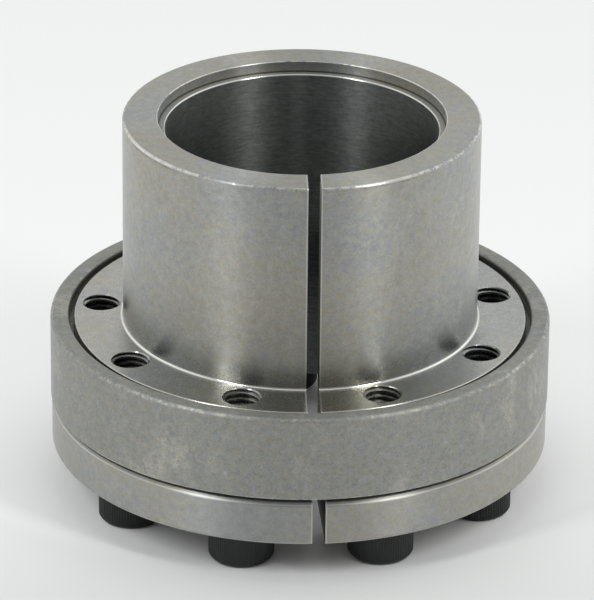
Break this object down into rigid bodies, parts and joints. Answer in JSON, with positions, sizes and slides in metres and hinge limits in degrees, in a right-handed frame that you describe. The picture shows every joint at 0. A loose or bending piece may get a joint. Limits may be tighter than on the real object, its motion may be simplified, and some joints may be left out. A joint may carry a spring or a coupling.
{
  "type": "keyless locking assembly",
  "caption": "Keyless locking assembly: a slit sleeve and slit tapered rings, drawn together by socket head screws, clamp a shaft and grip the bore of a wheel or hub.",
  "frame": {"origin": "on the shaft's axis, in the plane of the screw heads' outer faces, which the assembly stands on", "axes": "+Z along the shaft, from the screw heads towards the sleeve's free end; -Y towards the slits in the sleeve and rear ring; +X to the right of them"},
  "size_m": [0.1, 0.1, 0.0773],
  "materials": {
    "sleeve_steel": "satin turned steel, faintly mottled",
    "ring_steel": "matte tumbled steel with worn bright edges",
    "rear_steel": "satin turned steel",
    "screw_steel": "black oxide, lightly oiled"
  },
  "bodies": {
    "rear_ring": {"rear_ring": "rear_steel"},
    "slit_sleeve": {"slit_sleeve": "sleeve_steel"},
    "outer_ring": {"outer_ring": "ring_steel"},
    "screw_1": {"screw_1": "screw_steel"},
    "screw_2": {"screw_2": "screw_steel"},
    "screw_3": {"screw_3": "screw_steel"},
    "screw_4": {"screw_4": "screw_steel"},
    "screw_5": {"screw_5": "screw_steel"},
    "screw_6": {"screw_6": "screw_steel"},
    "screw_7": {"screw_7": "screw_steel"},
    "screw_8": {"screw_8": "screw_steel"},
    "screw_9": {"screw_9": "screw_steel"}
  },
  "joints": [
    {"name": "screw_1_turn", "type": "hinge", "parent": "rear_ring", "child": "screw_1", "pos_m": [0.01368, -0.03759, 0], "axis": [0, 0, 1], "range_deg": [-760, 230]},
    {"name": "screw_2_turn", "type": "hinge", "parent": "rear_ring", "child": "screw_2", "pos_m": [0.03464, -0.02, 0], "axis": [0, 0, 1], "range_deg": [-760, 230]},
    {"name": "screw_3_turn", "type": "hinge", "parent": "rear_ring", "child": "screw_3", "pos_m": [0.03939, 0.00695, 0], "axis": [0, 0, 1], "range_deg": [-760, 230]},
    {"name": "screw_4_turn", "type": "hinge", "parent": "rear_ring", "child": "screw_4", "pos_m": [0.02571, 0.03064, 0], "axis": [0, 0, 1], "range_deg": [-760, 230]},
    {"name": "screw_5_turn", "type": "hinge", "parent": "rear_ring", "child": "screw_5", "pos_m": [0, 0.04, 0], "axis": [0, 0, 1], "range_deg": [-760, 230]},
    {"name": "screw_6_turn", "type": "hinge", "parent": "rear_ring", "child": "screw_6", "pos_m": [-0.02571, 0.03064, 0], "axis": [0, 0, 1], "range_deg": [-760, 230]},
    {"name": "screw_7_turn", "type": "hinge", "parent": "rear_ring", "child": "screw_7", "pos_m": [-0.03939, 0.00695, 0], "axis": [0, 0, 1], "range_deg": [-760, 230]},
    {"name": "screw_8_turn", "type": "hinge", "parent": "rear_ring", "child": "screw_8", "pos_m": [-0.03464, -0.02, 0], "axis": [0, 0, 1], "range_deg": [-760, 230]},
    {"name": "screw_9_turn", "type": "hinge", "parent": "rear_ring", "child": "screw_9", "pos_m": [-0.01368, -0.03759, 0], "axis": [0, 0, 1], "range_deg": [-760, 230]},
    {"name": "sleeve_slide", "type": "slide", "parent": "rear_ring", "child": "slit_sleeve", "axis": [0, 0, 1], "range_m": [-0.0007, 0.0025]},
    {"name": "ring_slide", "type": "slide", "parent": "rear_ring", "child": "outer_ring", "axis": [0, 0, 1], "range_m": [-0.0004, 0.0014]}
  ],
  "couplings": [
    {"joint": "ring_slide", "follows": "sleeve_slide", "ratio": 0.5},
    {"joint": "screw_1_turn", "follows": "sleeve_slide", "rad_per_m": -5026.5},
    {"joint": "screw_2_turn", "follows": "sleeve_slide", "rad_per_m": -5026.5},
    {"joint": "screw_3_turn", "follows": "sleeve_slide", "rad_per_m": -5026.5},
    {"joint": "screw_4_turn", "follows": "sleeve_slide", "rad_per_m": -5026.5},
    {"joint": "screw_5_turn", "follows": "sleeve_slide", "rad_per_m": -5026.5},
    {"joint": "screw_6_turn", "follows": "sleeve_slide", "rad_per_m": -5026.5},
    {"joint": "screw_7_turn", "follows": "sleeve_slide", "rad_per_m": -5026.5},
    {"joint": "screw_8_turn", "follows": "sleeve_slide", "rad_per_m": -5026.5},
    {"joint": "screw_9_turn", "follows": "sleeve_slide", "rad_per_m": -5026.5}
  ]
}
